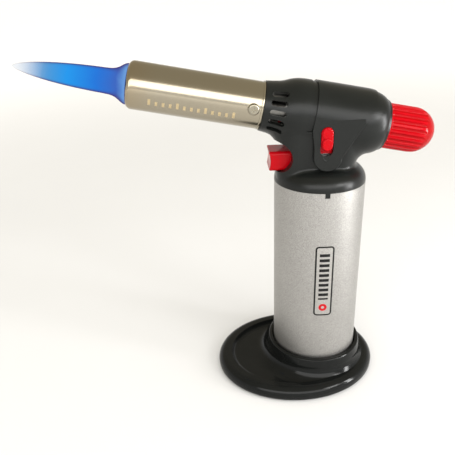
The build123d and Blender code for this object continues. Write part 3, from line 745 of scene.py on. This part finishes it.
def lay_floor():
    """A round floor just under the stand: pale far off, with painted shade making it mid grey within about
    0.3 m of the torch.
    """
    columns, drop = 96, 0.02 * MM
    turn = np.linspace(0, 2 * pi, columns, endpoint=False)[None, :]
    reach = np.array([1e-4, 0.5, 4.0, 40.0])[:, None]
    level = np.full((len(reach), columns), -drop)
    points = np.stack([reach * np.cos(turn), reach * np.sin(turn), level], axis=-1)
    f = Finish("pale_floor")
    mottle = f.noise(0.05, 3.0)
    distance = f.node("ShaderNodeVectorMath", {"operation": "LENGTH"}, (f.place,), "Value")
    # painted shade: the floor's colour is mid grey within 0.3 m of the torch and turns pale beyond 1.5 m
    f.set(
        Base_Color=f.mix(distance.ramp(0.3, 1.5) + 0.03 * mottle, (0.60, 0.60, 0.60), (0.93, 0.935, 0.95)),
        Roughness=0.75 + 0.1 * mottle,
        Specular_IOR_Level=0.2,
    )
    floor = grid_mesh("floor", points[::-1], f.material)


def light_sky(scene):
    """A world that is bright round the horizon and dimmer overhead."""
    world = bpy.data.worlds.new("studio")
    scene.world = world
    world.use_nodes = True
    nodes, links = world.node_tree.nodes, world.node_tree.links
    nodes.clear()
    where = nodes.new("ShaderNodeTexCoord")
    parts = nodes.new("ShaderNodeSeparateXYZ")
    shade = nodes.new("ShaderNodeValToRGB")
    glow = nodes.new("ShaderNodeBackground")
    output = nodes.new("ShaderNodeOutputWorld")
    stops = shade.color_ramp.elements
    stops[0].position, stops[0].color = 0.14, (1.0, 1.0, 1.0, 1.0)
    stops[1].position, stops[1].color = 0.45, (0.56, 0.51, 0.40, 1.0)
    links.new(where.outputs["Generated"], parts.inputs["Vector"])
    links.new(parts.outputs["Z"], shade.inputs["Fac"])
    links.new(shade.outputs["Color"], glow.inputs["Color"])
    links.new(glow.outputs["Background"], output.inputs["Surface"])


def hang_light(name, place, target, size, power):
    """A rectangular soft light that looks at a point."""
    data = bpy.data.lights.new(name, "AREA")
    data.shape = "RECTANGLE"
    data.size, data.size_y = size
    data.energy = power
    lamp = bpy.data.objects.new(name, data)
    lamp.location = place
    lamp.rotation_euler = (Vector(target) - Vector(place)).to_track_quat("-Z", "Y").to_euler()
    lamp.visible_camera = False
    bpy.context.scene.collection.objects.link(lamp)


def hang_sun(strength):
    """Soft light from straight overhead, even over the whole floor and without a reflection."""
    data = bpy.data.lights.new("overhead", "SUN")
    data.energy = strength
    data.angle = radians(80)
    lamp = bpy.data.objects.new("overhead", data)
    lamp.visible_glossy = False
    bpy.context.scene.collection.objects.link(lamp)


def set_camera(scene):
    """A camera ahead and to the near side, looking down at the torch."""
    data = bpy.data.cameras.new("camera")
    data.sensor_width = 36.0
    data.lens = 41.02
    data.clip_start = 0.01
    camera = bpy.data.objects.new("camera", data)
    place = Vector((-0.04747, -0.24421, 0.20022))
    right = Vector((0.99910, -0.02010, -0.03724)).normalized()
    forward = Vector((0.00233, 0.90480, -0.42583)).normalized()
    up = right.cross(forward).normalized()
    turn = Matrix((right, up, -forward)).transposed().to_4x4()
    camera.matrix_world = Matrix.Translation(place) @ turn
    scene.collection.objects.link(camera)
    scene.camera = camera


# ---------------------------------------------------------------- add-on
STEPS = (
    TORCH_OT_stand, TORCH_OT_tank, TORCH_OT_head, TORCH_OT_controls, TORCH_OT_burner, TORCH_OT_workings,
    TORCH_OT_flame, TORCH_OT_stage,
)


class TORCH_PT_sidebar(bpy.types.Panel):
    """Lists the torch's colours, studio settings and steps"""

    bl_label = "Torch"
    bl_idname = "TORCH_PT_sidebar"
    bl_space_type = "VIEW_3D"
    bl_region_type = "UI"
    bl_category = "Torch"

    def draw(self, context):
        for group in (context.scene.torch_colours, context.scene.torch_stage):
            box = self.layout.box()
            for name in group.bl_rna.properties.keys():
                if name not in {"rna_type", "name"}:
                    box.prop(group, name)
        for step in STEPS:
            self.layout.operator(step.bl_idname)


CLASSES = (TorchColours, TorchStage, *STEPS, TORCH_PT_sidebar)


def register():
    for cls in CLASSES:
        bpy.utils.register_class(cls)
    bpy.types.Scene.torch_colours = PointerProperty(type=TorchColours)
    bpy.types.Scene.torch_stage = PointerProperty(type=TorchStage)


def unregister():
    del bpy.types.Scene.torch_stage
    del bpy.types.Scene.torch_colours
    for cls in reversed(CLASSES):
        bpy.utils.unregister_class(cls)


def main():
    register()
    for step in STEPS:
        group, name = step.bl_idname.split(".")
        getattr(getattr(bpy.ops, group), name)()


if __name__ == "__main__":
    main()
